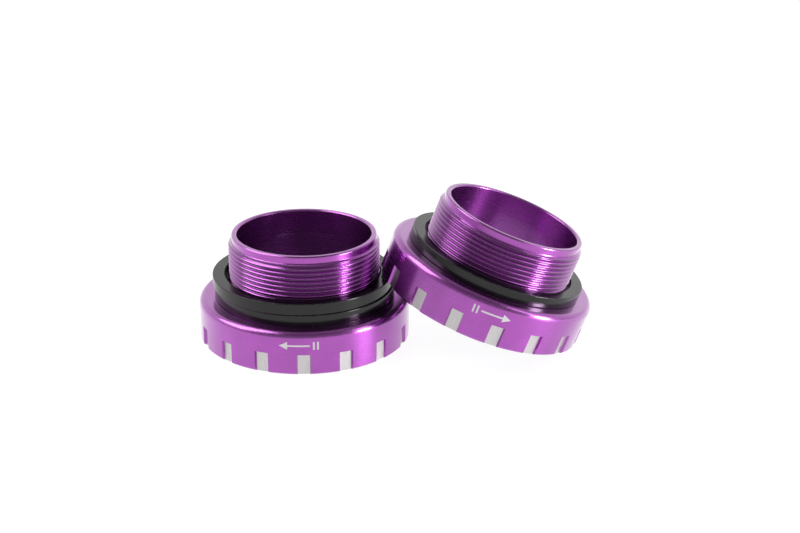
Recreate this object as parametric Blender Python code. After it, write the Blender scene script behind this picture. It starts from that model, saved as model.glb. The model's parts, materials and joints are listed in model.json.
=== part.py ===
"""External bottom bracket for a 30 mm crank spindle: two threaded cups with their bearings and spacers.

The drive cup stands on its outer face with its barrel up and two spacers over the barrel. The non-drive
cup carries one spacer and leans on the drive cup: its outer face rests on the rim of the top spacer, and
its far edge on the ground. Each cup holds a sealed 30 x 42 x 7 mm ball bearing behind a dust cover.

Frame: metres, +Z up, +X from the drive cup to the non-drive cup, origin on the ground under the middle of
the pair. Each cup is modelled about its own axis, with height 0 at its outer face, and is placed by an
empty that stands on that axis.
"""

import math

import bmesh
import bpy
from mathutils import Matrix, Vector

MM = 0.001

# Fits
GAP = 0.3 * MM  # between pieces that touch
SPACER_OFFSET = 0.4 * MM  # how far the top drive spacer has slipped sideways on the barrel

# Crank spindle, which the bearings carry and the barrels clear
SPINDLE_DIAMETER = 30.0 * MM
SPINDLE_CLEARANCE = 0.4 * MM
COVER_CLEARANCE = 0.3 * MM

# Thread of a British standard shell: 24 turns to the inch, and 34.8 mm over its crests with this wall
BARREL_WALL = 1.38 * MM
THREAD_DEPTH = 0.62 * MM
THREAD_PITCH = 25.4 / 24 * MM
THREAD_RELIEF = 0.6 * MM  # plain neck between the shoulder and the thread
THREAD_FADE = 0.5 * MM  # height over which the thread runs out at each end
RIGHT_HAND = 1
LEFT_HAND = -1

# Barrel
DRIVE_ENGAGEMENT = 9.6 * MM  # barrel length left above the drive spacers
NONDRIVE_ENGAGEMENT = 10.0 * MM
LEAD_IN_STEP = 0.13 * MM  # how far the plain lead-in below the rim stays inside the thread's root
LEAD_IN_HEIGHT = 1.6 * MM
RIM_CHAMFER = 0.25 * MM

# Flange, which holds the bearing in a pocket open at the outer face
POCKET_WALL = 2.5 * MM  # between the pocket and the floors of the tool notches
SHOULDER_WEB = 0.75 * MM  # between the pocket and the shoulder
FLANGE_ROUND = 1.2 * MM
FLANGE_CHAMFER = 0.3 * MM
ROUND_STEPS = 4

# Tool notches round the flange, open at the outer face
NOTCH_COUNT = 16
NOTCH_WIDTH = 2.7 * MM
NOTCH_FLARE = 0.24 * MM
NOTCH_HEIGHT = 4.5 * MM
NOTCH_DEPTH = 0.6 * MM
DRIVE_NOTCH_TURN = math.radians(3.4)
NONDRIVE_NOTCH_TURN = math.radians(3.3)

# Spacers
DRIVE_SPACERS = 2
NONDRIVE_SPACERS = 1
SPACER_BAND = 2.7 * MM  # from the hole to the rim
SPACER_THICKNESS = 2.35 * MM
SPACER_CHAMFER = 0.25 * MM

# Bearing. With these values it is the standard 30 x 42 x 7 mm size
BEARING_SECTION = 6.0 * MM  # from the bore to the outside
RACE_WALL = 0.95 * MM  # behind the ball groove
RACE_LAND = 1.6 * MM  # beside the ball groove
SEAL_THICKNESS = 0.6 * MM
SEAL_INSET = 0.15 * MM  # how far a seal lies below the faces of the races
CAGE_CLEARANCE = 0.65 * MM  # between the cage and the lands
CAGE_BASE = 0.4 * MM
CAGE_FINGER_WIDTH = 2.0 * MM  # least width left between two balls
CAGE_FINGER_HEIGHT = 2.7 * MM

# Dust cover in the mouth of the bearing pocket
COVER_THICKNESS = 0.9 * MM
COVER_INSET = 0.15 * MM
COVER_RIB = 0.35 * MM  # step from the thin web up to the thicker outer ring
BEARING_RELIEF = 0.3 * MM  # recess that keeps the inner race off the pocket's floor

# Facets round a turn
CUP_SEGMENTS = 40
BEARING_SEGMENTS = 32
GROOVE_STEPS = 4

# Bearing, worked out from the sizes above
BORE_RADIUS = SPINDLE_DIAMETER / 2
BEARING_RADIUS = BORE_RADIUS + BEARING_SECTION
PITCH_RADIUS = BORE_RADIUS + BEARING_SECTION / 2
GROOVE_RADIUS = BEARING_SECTION / 2 - RACE_WALL
BALL_RADIUS = GROOVE_RADIUS - GAP
INNER_LAND_RADIUS = BORE_RADIUS + RACE_LAND
OUTER_LAND_RADIUS = BEARING_RADIUS - RACE_LAND
CAGE_INNER_RADIUS = INNER_LAND_RADIUS + CAGE_CLEARANCE
CAGE_OUTER_RADIUS = OUTER_LAND_RADIUS - CAGE_CLEARANCE
POCKET_ANGLE = 2 * math.asin(GROOVE_RADIUS / PITCH_RADIUS)
BALL_COUNT = int(math.tau / (POCKET_ANGLE + CAGE_FINGER_WIDTH / PITCH_RADIUS))
BEARING_WIDTH = 2 * (GROOVE_RADIUS + CAGE_BASE + GAP + SEAL_THICKNESS + SEAL_INSET)
BEARING_BASE = COVER_INSET + COVER_THICKNESS + GAP
BEARING_TOP = BEARING_BASE + BEARING_WIDTH
BEARING_MIDDLE = BEARING_BASE + BEARING_WIDTH / 2

# Cups and spacers, worked out from the sizes above
POCKET_RADIUS = BEARING_RADIUS + GAP
POCKET_DEPTH = BEARING_TOP + GAP
FLANGE_RADIUS = POCKET_RADIUS + POCKET_WALL + NOTCH_DEPTH
FLANGE_HEIGHT = POCKET_DEPTH + BEARING_RELIEF + SHOULDER_WEB
BARREL_BORE_RADIUS = BORE_RADIUS + SPINDLE_CLEARANCE
ROOT_RADIUS = BARREL_BORE_RADIUS + BARREL_WALL
THREAD_RADIUS = ROOT_RADIUS + THREAD_DEPTH
SPACER_HOLE_RADIUS = THREAD_RADIUS + SPACER_OFFSET + GAP
SPACER_RADIUS = SPACER_HOLE_RADIUS + SPACER_BAND


def material(name, colour, metallic, roughness):
    """A Principled BSDF material of one plain finish."""
    finish = bpy.data.materials.new(name)
    finish.use_nodes = True
    shader = finish.node_tree.nodes["Principled BSDF"]
    shader.inputs["Base Color"].default_value = (*colour, 1.0)
    shader.inputs["Metallic"].default_value = metallic
    shader.inputs["Roughness"].default_value = roughness
    finish.diffuse_color = (*colour, 1.0)
    return finish


def place(name, mesh, finish, parent, offset=(0.0, 0.0, 0.0)):
    """Puts a mesh into the scene under an empty, smooth except at its real edges."""
    mesh.shade_smooth()
    mesh.set_sharp_from_angle(angle=math.radians(35))
    if finish.name not in mesh.materials:
        mesh.materials.append(finish)
    piece = bpy.data.objects.new(name, mesh)
    piece.location = offset
    piece.parent = parent
    bpy.context.collection.objects.link(piece)
    return piece


def finished_mesh(name, bm):
    """Turns a closed bmesh into a mesh with its faces pointing out."""
    bmesh.ops.recalc_face_normals(bm, faces=bm.faces)
    mesh = bpy.data.meshes.new(name)
    bm.to_mesh(mesh)
    bm.free()
    return mesh


def turned(name, outline, segments):
    """Spins a closed outline of (radius, height) points once round the Z axis."""
    bm = bmesh.new()
    points = [bm.verts.new((radius, 0.0, height)) for radius, height in outline]
    edges = [bm.edges.new((points[i - 1], points[i])) for i in range(len(points))]
    bmesh.ops.spin(
        bm,
        geom=points + edges,
        cent=(0.0, 0.0, 0.0),
        axis=(0.0, 0.0, 1.0),
        angle=math.tau,
        steps=segments,
        use_merge=True,
    )
    bmesh.ops.remove_doubles(bm, verts=bm.verts, dist=1e-7)
    return finished_mesh(name, bm)


def arc(centre, radius, start, end, steps):
    """Points on an arc of (radius, height) about a centre, from one angle to another in degrees."""
    angles = [math.radians(start + (end - start) * step / steps) for step in range(steps + 1)]
    return [(centre[0] + radius * math.cos(a), centre[1] + radius * math.sin(a)) for a in angles]


def spacer_stack(count):
    """Height above the flange that a number of spacers takes up."""
    return count * (SPACER_THICKNESS + GAP)


def barrel_top(spacers, engagement):
    """Height of the rim of a cup that carries a number of spacers under its length in the shell."""
    return FLANGE_HEIGHT + spacer_stack(spacers) + engagement


def cup_outline(top):
    """The cup's section: from the head of its thread, over the rim, down the bore and back to its foot."""
    lead_in = ROOT_RADIUS - LEAD_IN_STEP
    bore = BARREL_BORE_RADIUS
    floor = POCKET_DEPTH + BEARING_RELIEF
    flange_centre = (FLANGE_RADIUS - FLANGE_ROUND, FLANGE_HEIGHT - FLANGE_ROUND)
    rim = [
        (lead_in, top - LEAD_IN_HEIGHT),
        (lead_in, top - RIM_CHAMFER),
        (lead_in - RIM_CHAMFER, top),
        (bore + RIM_CHAMFER, top),
        (bore, top - RIM_CHAMFER),
    ]
    pocket = [
        (bore, floor),
        (OUTER_LAND_RADIUS, floor),
        (OUTER_LAND_RADIUS, POCKET_DEPTH),
        (POCKET_RADIUS, POCKET_DEPTH),
        (POCKET_RADIUS, FLANGE_CHAMFER),
        (POCKET_RADIUS + FLANGE_CHAMFER, 0.0),
    ]
    flange = [
        (FLANGE_RADIUS - FLANGE_CHAMFER, 0.0),
        (FLANGE_RADIUS, FLANGE_CHAMFER),
        *arc(flange_centre, FLANGE_ROUND, 0, 90, ROUND_STEPS),
        (ROOT_RADIUS, FLANGE_HEIGHT),
    ]
    return rim + pocket + flange


def thread_rows(bottom, top, hand):
    """Rows of points that climb with the thread, root and crest in turn.

    A row rises one pitch in each turn about the axis, or falls one when the hand is left. Points that would
    pass either end of the thread are held at that end, and the crests fade to the root as they near it.
    """
    turns = (top - bottom) / THREAD_PITCH
    rows = []
    for row in range(2 * math.ceil(turns + 2) + 1):
        points = []
        for step in range(CUP_SEGMENTS):
            turn = step / CUP_SEGMENTS
            height = bottom + THREAD_PITCH * (row / 2 - 1 + hand * turn)
            height = min(max(height, bottom), top)
            fade = min((height - bottom) / THREAD_FADE, (top - height) / THREAD_FADE, 1.0)
            radius = ROOT_RADIUS + (row % 2) * THREAD_DEPTH * fade
            angle = math.tau * turn
            points.append((radius * math.cos(angle), radius * math.sin(angle), height))
        rows.append(points)
    return rows


def cup_mesh(name, top, hand):
    """The threaded cup as one skin: the thread's rows, then one circle for each point of the section."""
    threads = thread_rows(FLANGE_HEIGHT + THREAD_RELIEF, top - LEAD_IN_HEIGHT, hand)
    angles = [math.tau * step / CUP_SEGMENTS for step in range(CUP_SEGMENTS)]
    circles = [
        [(radius * math.cos(a), radius * math.sin(a), height) for a in angles]
        for radius, height in cup_outline(top)
    ]
    bm = bmesh.new()
    rings = [[bm.verts.new(point) for point in ring] for ring in threads + circles]
    last_thread = len(threads) - 1
    for index, ring in enumerate(rings):
        above = rings[(index + 1) % len(rings)]
        for step in range(CUP_SEGMENTS - 1):
            bm.faces.new((ring[step], ring[step + 1], above[step + 1], above[step]))
        if index < last_thread:
            # One turn on, a row of the thread has become the row two further up or down.
            joined = rings[min(max(index + 2 * hand, 0), last_thread)]
            joined_above = rings[min(max(index + 1 + 2 * hand, 0), last_thread)]
        else:
            joined = ring
            joined_above = above
        corners = (ring[-1], joined[0], joined_above[0], above[-1])
        if len(set(corners)) == len(corners):
            bm.faces.new(corners)
        elif joined[0] is joined_above[0]:
            bm.faces.new((ring[-1], joined[0], above[-1]))
    bmesh.ops.remove_doubles(bm, verts=bm.verts, dist=1e-7)
    return finished_mesh(name, bm)


def notch_cutter(name, turn, parent):
    """Wedges, wider outside than at the notch's floor, that cut the tool notches."""
    inner = FLANGE_RADIUS - NOTCH_DEPTH
    outer = FLANGE_RADIUS + NOTCH_DEPTH
    flare = NOTCH_FLARE * (outer - inner) / NOTCH_DEPTH
    low = -NOTCH_DEPTH
    sections = [
        (inner, NOTCH_WIDTH / 2, NOTCH_HEIGHT),
        (outer, NOTCH_WIDTH / 2 + flare, NOTCH_HEIGHT + flare),
    ]
    bm = bmesh.new()
    for number in range(NOTCH_COUNT):
        spin = Matrix.Rotation(math.tau * number / NOTCH_COUNT + turn, 3, "Z")
        ends = []
        for radius, half, high in sections:
            corners = [(radius, -half, low), (radius, half, low), (radius, half, high), (radius, -half, high)]
            ends.append([bm.verts.new(spin @ Vector(corner)) for corner in corners])
        bm.faces.new(ends[0])
        bm.faces.new(ends[1])
        for corner in range(4):
            bm.faces.new((ends[0][corner - 1], ends[0][corner], ends[1][corner], ends[1][corner - 1]))
    cutter = bpy.data.objects.new(name, finished_mesh(name, bm))
    cutter.parent = parent
    cutter.hide_render = True
    cutter.display_type = "WIRE"
    bpy.context.collection.objects.link(cutter)
    return cutter


def make_cup(side, top, hand, notch_turn, finishes, frame):
    """A threaded cup with its tool notches cut in."""
    name = f"{side}_cup"
    cup = place(name, cup_mesh(name, top, hand), finishes["anodised"], frame)
    notches = cup.modifiers.new("tool_notches", "BOOLEAN")
    notches.operation = "DIFFERENCE"
    notches.solver = "EXACT"
    notches.object = notch_cutter(f"{side}_notch_cutter", notch_turn, frame)
    return cup


def make_spacer(name, level, finish, frame, offset=0.0):
    """A plain ring that slips over the barrel, on the given level of the stack."""
    inner, outer, chamfer = SPACER_HOLE_RADIUS, SPACER_RADIUS, SPACER_CHAMFER
    outline = [
        (inner, 0.0),
        (outer - chamfer, 0.0),
        (outer, chamfer),
        (outer, SPACER_THICKNESS - chamfer),
        (outer - chamfer, SPACER_THICKNESS),
        (inner, SPACER_THICKNESS),
    ]
    base = FLANGE_HEIGHT + GAP + spacer_stack(level)
    return place(name, turned(name, outline, CUP_SEGMENTS), finish, frame, (-offset, 0.0, base))


def groove(start, end):
    """The ball groove of a race, as an arc about the balls' pitch circle."""
    return arc((PITCH_RADIUS, BEARING_MIDDLE), GROOVE_RADIUS, start, end, GROOVE_STEPS)


def make_races(side, finish, frame):
    """The two races: plain rings, each with the groove that the balls run in."""
    low = BEARING_BASE
    high = BEARING_TOP
    reach = math.degrees(math.acos((PITCH_RADIUS - INNER_LAND_RADIUS) / GROOVE_RADIUS))
    inner = [
        (BORE_RADIUS, low),
        (INNER_LAND_RADIUS, low),
        *groove(180 + reach, 180 - reach),
        (INNER_LAND_RADIUS, high),
        (BORE_RADIUS, high),
    ]
    outer = [
        (BEARING_RADIUS, low),
        (BEARING_RADIUS, high),
        (OUTER_LAND_RADIUS, high),
        *groove(reach, -reach),
        (OUTER_LAND_RADIUS, low),
    ]
    for name, outline in ((f"{side}_inner_race", inner), (f"{side}_outer_race", outer)):
        place(name, turned(name, outline, BEARING_SEGMENTS), finish, frame)


def make_seals(side, finish, frame):
    """The flat rubber seals that close the bearing on both sides."""
    inner = INNER_LAND_RADIUS + GAP
    outer = OUTER_LAND_RADIUS - GAP
    outline = [(inner, 0.0), (outer, 0.0), (outer, SEAL_THICKNESS), (inner, SEAL_THICKNESS)]
    bases = {
        "outboard": BEARING_BASE + SEAL_INSET,
        "inboard": BEARING_TOP - SEAL_INSET - SEAL_THICKNESS,
    }
    for place_name, base in bases.items():
        name = f"{side}_seal_{place_name}"
        place(name, turned(name, outline, BEARING_SEGMENTS), finish, frame, (0.0, 0.0, base))


def cage_mesh(name):
    """A crown cage: a thin ring under the balls, with a finger standing up between each two of them."""
    inner = CAGE_INNER_RADIUS
    outer = CAGE_OUTER_RADIUS
    base = BEARING_MIDDLE - GROOVE_RADIUS - CAGE_BASE
    step = math.tau / BALL_COUNT
    bm = bmesh.new()
    angles = []
    for number in range(BALL_COUNT):
        angles += [number * step - POCKET_ANGLE / 2, number * step + POCKET_ANGLE / 2]
    levels = (base, base + CAGE_BASE)
    rings = [
        [bm.verts.new((radius * math.cos(a), radius * math.sin(a), level)) for a in angles]
        for radius, level in (
            (inner, levels[0]),
            (outer, levels[0]),
            (outer, levels[1]),
            (inner, levels[1]),
        )
    ]
    fingers = []
    for ring in range(4):
        for index in range(len(angles)):
            corners = (
                rings[ring][index - 1],
                rings[ring][index],
                rings[(ring + 1) % 4][index],
                rings[(ring + 1) % 4][index - 1],
            )
            face = bm.faces.new(corners)
            if ring == 2 and index % 2 == 0:
                fingers.append(face)
    raised = bmesh.ops.extrude_discrete_faces(bm, faces=fingers)["faces"]
    for face in raised:
        bmesh.ops.translate(bm, vec=(0.0, 0.0, CAGE_FINGER_HEIGHT), verts=face.verts)
    return finished_mesh(name, bm)


def make_balls(side, finish, frame):
    """The balls, spaced evenly in the cage's pockets. All of them share one mesh."""
    bm = bmesh.new()
    bmesh.ops.create_uvsphere(bm, u_segments=8, v_segments=6, radius=BALL_RADIUS)
    mesh = finished_mesh(f"{side}_ball", bm)
    for number in range(BALL_COUNT):
        angle = math.tau * number / BALL_COUNT
        centre = (PITCH_RADIUS * math.cos(angle), PITCH_RADIUS * math.sin(angle), BEARING_MIDDLE)
        place(f"{side}_ball_{number + 1:02d}", mesh, finish, frame, centre)


def make_cover(side, finish, frame):
    """The dust cover, with a thin web round the spindle and a thicker ring in the pocket's mouth."""
    inner = BORE_RADIUS + COVER_CLEARANCE
    outer = POCKET_RADIUS - GAP
    step = OUTER_LAND_RADIUS
    low = COVER_INSET
    high = COVER_INSET + COVER_THICKNESS
    outline = [
        (inner, low + COVER_RIB),
        (step, low + COVER_RIB),
        (step, low),
        (outer, low),
        (outer, high),
        (inner, high),
    ]
    name = f"{side}_dust_cover"
    place(name, turned(name, outline, BEARING_SEGMENTS), finish, frame)


def make_bearing(side, finishes, frame):
    """A sealed ball bearing and the cover outside it."""
    make_races(side, finishes["steel"], frame)
    make_seals(side, finishes["rubber"], frame)
    place(f"{side}_ball_cage", cage_mesh(f"{side}_ball_cage"), finishes["nylon"], frame)
    make_balls(side, finishes["steel"], frame)
    make_cover(side, finishes["rubber"], frame)


def near_reach(angle):
    """Sideways distance from the foot of the non-drive cup's axis to its nearest point, at a lean."""
    return FLANGE_RADIUS * math.cos(angle) - FLANGE_CHAMFER * math.sin(angle)


def lean_angle():
    """How far the non-drive cup leans, found by halving the interval that holds it.

    The flat of its outer face runs up from the ground, passes one gap over the edge of the top drive spacer,
    and ends at the rim of the flange, which stands one gap off the drive barrel.
    """
    face = FLANGE_RADIUS - FLANGE_CHAMFER
    run = SPACER_RADIUS - SPACER_OFFSET - THREAD_RADIUS - GAP
    edge = FLANGE_HEIGHT + spacer_stack(DRIVE_SPACERS)
    low, high = 0.0, math.pi / 4
    while high - low > 1e-9:
        angle = (low + high) / 2
        rise = face * math.sin(angle) + (near_reach(angle) - run) * math.tan(angle)
        if rise < edge + GAP / math.cos(angle):
            low = angle
        else:
            high = angle
    return high


def cup_frames():
    """Empties on the axes of the two cups, spaced so that the pair is centred on the origin."""
    lean = lean_angle()
    foot = THREAD_RADIUS + GAP + near_reach(lean)
    outline = cup_outline(barrel_top(NONDRIVE_SPACERS, NONDRIVE_ENGAGEMENT))
    overhang = max(radius * math.cos(lean) + height * math.sin(lean) for radius, height in outline)
    middle = (foot + overhang - FLANGE_RADIUS) / 2
    drive = bpy.data.objects.new("drive_frame", None)
    drive.location = (-middle, 0.0, 0.0)
    nondrive = bpy.data.objects.new("nondrive_frame", None)
    nondrive.location = (foot - middle, 0.0, (FLANGE_RADIUS - FLANGE_CHAMFER) * math.sin(lean))
    nondrive.rotation_euler = (0.0, lean, 0.0)
    for frame in (drive, nondrive):
        bpy.context.collection.objects.link(frame)
    return drive, nondrive


def clear_scene():
    """Removes everything that the scene opened with."""
    for old in list(bpy.data.objects):
        bpy.data.objects.remove(old, do_unlink=True)


def main():
    """Builds both cups."""
    clear_scene()
    finishes = {
        "anodised": material("purple_anodised", (0.36, 0.09, 0.42), 1.0, 0.22),
        "black": material("black_anodised", (0.03, 0.03, 0.032), 0.6, 0.4),
        "steel": material("bearing_steel", (0.62, 0.63, 0.65), 1.0, 0.15),
        "rubber": material("seal_rubber", (0.02, 0.02, 0.02), 0.0, 0.6),
        "nylon": material("cage_nylon", (0.45, 0.2, 0.08), 0.0, 0.45),
    }
    drive, nondrive = cup_frames()
    drive_top = barrel_top(DRIVE_SPACERS, DRIVE_ENGAGEMENT)
    make_cup("drive", drive_top, LEFT_HAND, DRIVE_NOTCH_TURN, finishes, drive)
    make_spacer("drive_spacer_lower", 0, finishes["black"], drive)
    make_spacer("drive_spacer_upper", 1, finishes["black"], drive, SPACER_OFFSET)
    make_bearing("drive", finishes, drive)
    nondrive_top = barrel_top(NONDRIVE_SPACERS, NONDRIVE_ENGAGEMENT)
    make_cup("nondrive", nondrive_top, RIGHT_HAND, NONDRIVE_NOTCH_TURN, finishes, nondrive)
    make_spacer("nondrive_spacer", 0, finishes["black"], nondrive)
    make_bearing("nondrive", finishes, nondrive)


main()
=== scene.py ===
"""Looks of an external bottom bracket for a 30 mm crank spindle: two cups, their spacers and bearings.

Every piece is a turned surface. It is worked out about its own axis, with height 0 at the cup's outer face,
as a grid of points whose rows follow the section and whose columns go round, and is then put where the
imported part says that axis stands.
"""

import json
import logging
import math
from dataclasses import dataclass
from enum import Enum

import bpy
import numpy as np
from mathutils import Matrix, Vector


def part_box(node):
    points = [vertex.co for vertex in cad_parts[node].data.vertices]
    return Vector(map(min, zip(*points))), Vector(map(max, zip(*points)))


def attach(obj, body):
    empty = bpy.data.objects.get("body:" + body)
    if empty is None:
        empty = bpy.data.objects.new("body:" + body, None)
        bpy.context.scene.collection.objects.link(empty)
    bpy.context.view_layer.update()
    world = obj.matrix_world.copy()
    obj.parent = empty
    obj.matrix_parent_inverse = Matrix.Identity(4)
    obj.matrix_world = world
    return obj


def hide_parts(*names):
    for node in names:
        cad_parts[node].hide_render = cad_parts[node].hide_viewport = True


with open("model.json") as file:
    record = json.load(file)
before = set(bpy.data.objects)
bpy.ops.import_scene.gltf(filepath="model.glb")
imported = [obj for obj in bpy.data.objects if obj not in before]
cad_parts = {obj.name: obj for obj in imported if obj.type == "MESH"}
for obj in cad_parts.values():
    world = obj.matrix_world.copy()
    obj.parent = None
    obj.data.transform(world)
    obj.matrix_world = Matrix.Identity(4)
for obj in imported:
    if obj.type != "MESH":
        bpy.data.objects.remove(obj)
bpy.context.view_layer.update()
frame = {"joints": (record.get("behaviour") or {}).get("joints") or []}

LOG = logging.getLogger("bottom_bracket")

MM = 0.001

# Points this near are joined, and heights or lengths this near count as equal, in metres.
WELD = 1e-7
HAIR = 1e-6
SHARP_EDGE = math.radians(50)
PLACE_NAME = "place_about_axis"
# Attribute with edge wear where positive, and painted shade in the thread's grooves where negative.
WEAR_AND_SHADE_NAME = "edge_wear_and_shade"
UNROLLED_NAME = "unrolled"

# How far the thread's unrolled rows lie before those of the rest of a cup's section, in metres.
THREAD_UNROLLED = 0.03

# Most of what a noise gives lies between these two values.
NOISE_LOW = 0.3
NOISE_HIGH = 0.7

# Turns the streaks of an anisotropic metal from along its tangent to across it.
QUARTER_TURN = 0.25

Socket = bpy.types.NodeSocket
Material = bpy.types.Material
Colour = tuple[float, float, float]
Input = Socket | float | tuple[float, ...]


class ThreadHand(Enum):
    """Way that a thread climbs as it goes round."""

    RIGHT = 1
    LEFT = -1


class Side(Enum):
    """Which end of the shell a cup screws into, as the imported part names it."""

    DRIVE = "drive"
    NONDRIVE = "nondrive"


@dataclass(frozen=True)
class AxisFrame:
    """Where a turned piece stands: the foot of its axis, at the cup's outer face, and its direction."""

    foot: np.ndarray
    axis: np.ndarray

    @classmethod
    def of_node(cls, node: str, side: Side, middle: float) -> "AxisFrame":
        """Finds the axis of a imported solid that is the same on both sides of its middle.

        Args:
            node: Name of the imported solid.
            side: The cup that it belongs to, whose bearing joint gives the axis.
            middle: Height of the solid's middle above the cup's outer face, in metres.

        Returns:
            The axis, with its foot at the height of the outer face.
        """
        low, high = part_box(node)
        centre = (np.array(low) + np.array(high)) / 2
        joint = next(j for j in frame["joints"] if j["name"] == f"{side.value}_bearing_spin")
        axis = np.array(joint["axis"], float)
        axis /= np.linalg.norm(axis)
        return cls(centre - axis * middle, axis)

    def place(self, points: np.ndarray) -> np.ndarray:
        """Moves points from about the Z axis to where the piece stands.

        Args:
            points: Points about the Z axis, one in each row.

        Returns:
            The same points turned about Y to the frame's axis, and carried to its foot.
        """
        across = np.array([self.axis[2], 0.0, -self.axis[0]])
        turn = np.column_stack([across, [0.0, 1.0, 0.0], self.axis])
        return points @ turn.T + self.foot


@dataclass(frozen=True)
class Surface:
    """A grid of points about the Z axis, with what its faces and its finish need to know.

    Args:
        points: Grid of rows by columns by 3.
        unrolled: Grid of rows by columns by 2: turns round the axis, and metres along the section.
        wear_and_shade: Grid of rows by columns: 1 where an edge is rubbed, -1 in a thread groove painted
            dark as shade, 0 elsewhere.
        bare: Grid of faces, true where the finish is cut away.
        closed_section: Whether the last row joins the first.
    """

    points: np.ndarray
    unrolled: np.ndarray
    wear_and_shade: np.ndarray
    bare: np.ndarray
    closed_section: bool = True

    def triangles(self) -> tuple[np.ndarray, np.ndarray]:
        """Splits the grid's quads in two.

        Returns:
            Grid indices of the three corners of each triangle, and whether each is bare.
        """
        rows, columns = self.points.shape[:2]
        numbers = np.arange(rows * columns).reshape(rows, columns)
        above = np.roll(numbers, -1, axis=0)
        if not self.closed_section:
            numbers, above = numbers[:-1], above[:-1]
        corners = np.stack([numbers[:, :-1], numbers[:, 1:], above[:, 1:], above[:, :-1]], axis=-1)
        corners = corners.reshape(-1, 4)
        bare = self.bare[: len(numbers)].ravel()
        halves = np.concatenate([corners[:, [0, 1, 2]], corners[:, [0, 2, 3]]])
        return halves, np.concatenate([bare, bare])

    def welded(self) -> tuple[np.ndarray, np.ndarray, np.ndarray, np.ndarray]:
        """Joins points that meet, drops faces with no area, and turns the skin outwards.

        Returns:
            Grid index of each joined point; each triangle's corners, in the grid and among the joined
            points; and whether each triangle is bare.
        """
        flat = self.points.reshape(-1, 3)
        steps = np.round(flat / WELD).astype(np.int64)
        _, first, index = np.unique(steps, axis=0, return_index=True, return_inverse=True)
        halves, bare = self.triangles()
        joined = index.reshape(-1)[halves]
        kept = (joined != np.roll(joined, 1, axis=1)).all(axis=1)
        halves, joined, bare = halves[kept], joined[kept], bare[kept]
        if np.linalg.det(flat[first][joined]).sum() < 0:
            halves, joined = halves[:, ::-1], joined[:, ::-1]
        return first, halves, joined, bare

    def into_piece(self, name: str, stand: AxisFrame, finishes: list[Material]) -> bpy.types.Object:
        """Makes the piece, with its place about its axis, its wear and painted groove shade and its unrolled
        grid on the mesh.

        Args:
            name: The piece's name.
            stand: Where the piece stands.
            finishes: The finish, and after it the one for bare faces if there are any.

        Returns:
            The piece, at the origin, with its place in its mesh.
        """
        first, halves, joined, bare = self.welded()
        local = self.points.reshape(-1, 3)[first]
        mesh = fill_mesh(name, stand.place(local), joined, bare)
        place = mesh.attributes.new(PLACE_NAME, "FLOAT_VECTOR", "POINT")
        place.data.foreach_set("vector", local.astype(np.float32).ravel())
        wear_and_shade = mesh.attributes.new(WEAR_AND_SHADE_NAME, "FLOAT", "POINT")
        wear_and_shade.data.foreach_set("value", self.wear_and_shade.ravel()[first].astype(np.float32))
        unrolled = mesh.uv_layers.new(name=UNROLLED_NAME)
        unrolled.data.foreach_set("uv", self.unrolled.reshape(-1, 2)[halves].astype(np.float32).ravel())
        mesh.shade_smooth()
        mesh.set_sharp_from_angle(angle=SHARP_EDGE)
        for finish in finishes:
            mesh.materials.append(finish)
        mesh.validate()
        piece = bpy.data.objects.new(name, mesh)
        bpy.context.scene.collection.objects.link(piece)
        return piece


def fill_mesh(name: str, points: np.ndarray, triangles: np.ndarray, slots: np.ndarray) -> bpy.types.Mesh:
    """Fills a mesh with triangles.

    Args:
        name: The mesh's name.
        points: Place of each point, one in each row.
        triangles: The three points of each triangle.
        slots: Material slot of each triangle.

    Returns:
        The mesh.
    """
    mesh = bpy.data.meshes.new(name)
    mesh.vertices.add(len(points))
    mesh.vertices.foreach_set("co", points.astype(np.float32).ravel())
    mesh.loops.add(triangles.size)
    mesh.loops.foreach_set("vertex_index", triangles.astype(np.int32).ravel())
    mesh.polygons.add(len(triangles))
    mesh.polygons.foreach_set("loop_start", np.arange(0, triangles.size, 3, dtype=np.int32))
    mesh.polygons.foreach_set("material_index", slots.astype(np.int32))
    mesh.update(calc_edges=True)
    return mesh


def round_axis(radius: np.ndarray, angles: np.ndarray, height: np.ndarray) -> np.ndarray:
    """Puts a grid round the Z axis, with an angle for each column: x = r cos a, y = r sin a, z = h."""
    return np.stack(np.broadcast_arrays(radius * np.cos(angles), radius * np.sin(angles), height), axis=-1)


def unroll(turns: np.ndarray, along: np.ndarray) -> np.ndarray:
    """Pairs the turns round the axis with the distance along the section, at every point of a grid."""
    return np.stack(np.broadcast_arrays(turns, along), axis=-1)


def distance_along(section: np.ndarray) -> np.ndarray:
    """Gives how far along the section each of its points is from the first, as a column."""
    return np.append(0.0, np.cumsum(np.linalg.norm(np.diff(section, axis=0), axis=1)))[:, None]


def soften(corners: np.ndarray, softness: np.ndarray, steps: int = 4) -> np.ndarray:
    """Rounds the corners of a closed section.

    A corner P becomes the curve (1-t)^2 A + 2t(1-t) P + t^2 B, where A and B lie one softness from it,
    towards its neighbours. A point a little outside A and B keeps the flats flat in the shading.

    Args:
        corners: Radius and height of each corner.
        softness: Distance of A and B from each corner.
        steps: Parts that each curve is cut into.

    Returns:
        Points of each corner, as corners by points by 2.
    """
    before = np.roll(corners, 1, axis=0) - corners
    after = np.roll(corners, -1, axis=0) - corners
    before /= np.linalg.norm(before, axis=1, keepdims=True)
    after /= np.linalg.norm(after, axis=1, keepdims=True)
    reach = softness[:, None]
    start = (corners + before * reach)[:, None]
    end = (corners + after * reach)[:, None]
    t = np.linspace(0.0, 1.0, steps + 1)[None, :, None]
    curve = (1 - t) ** 2 * start + 2 * t * (1 - t) * corners[:, None] + t**2 * end
    outside = 1.35 * reach
    first = (corners + before * outside)[:, None]
    last = (corners + after * outside)[:, None]
    return np.concatenate([first, curve, last], axis=1)


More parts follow.
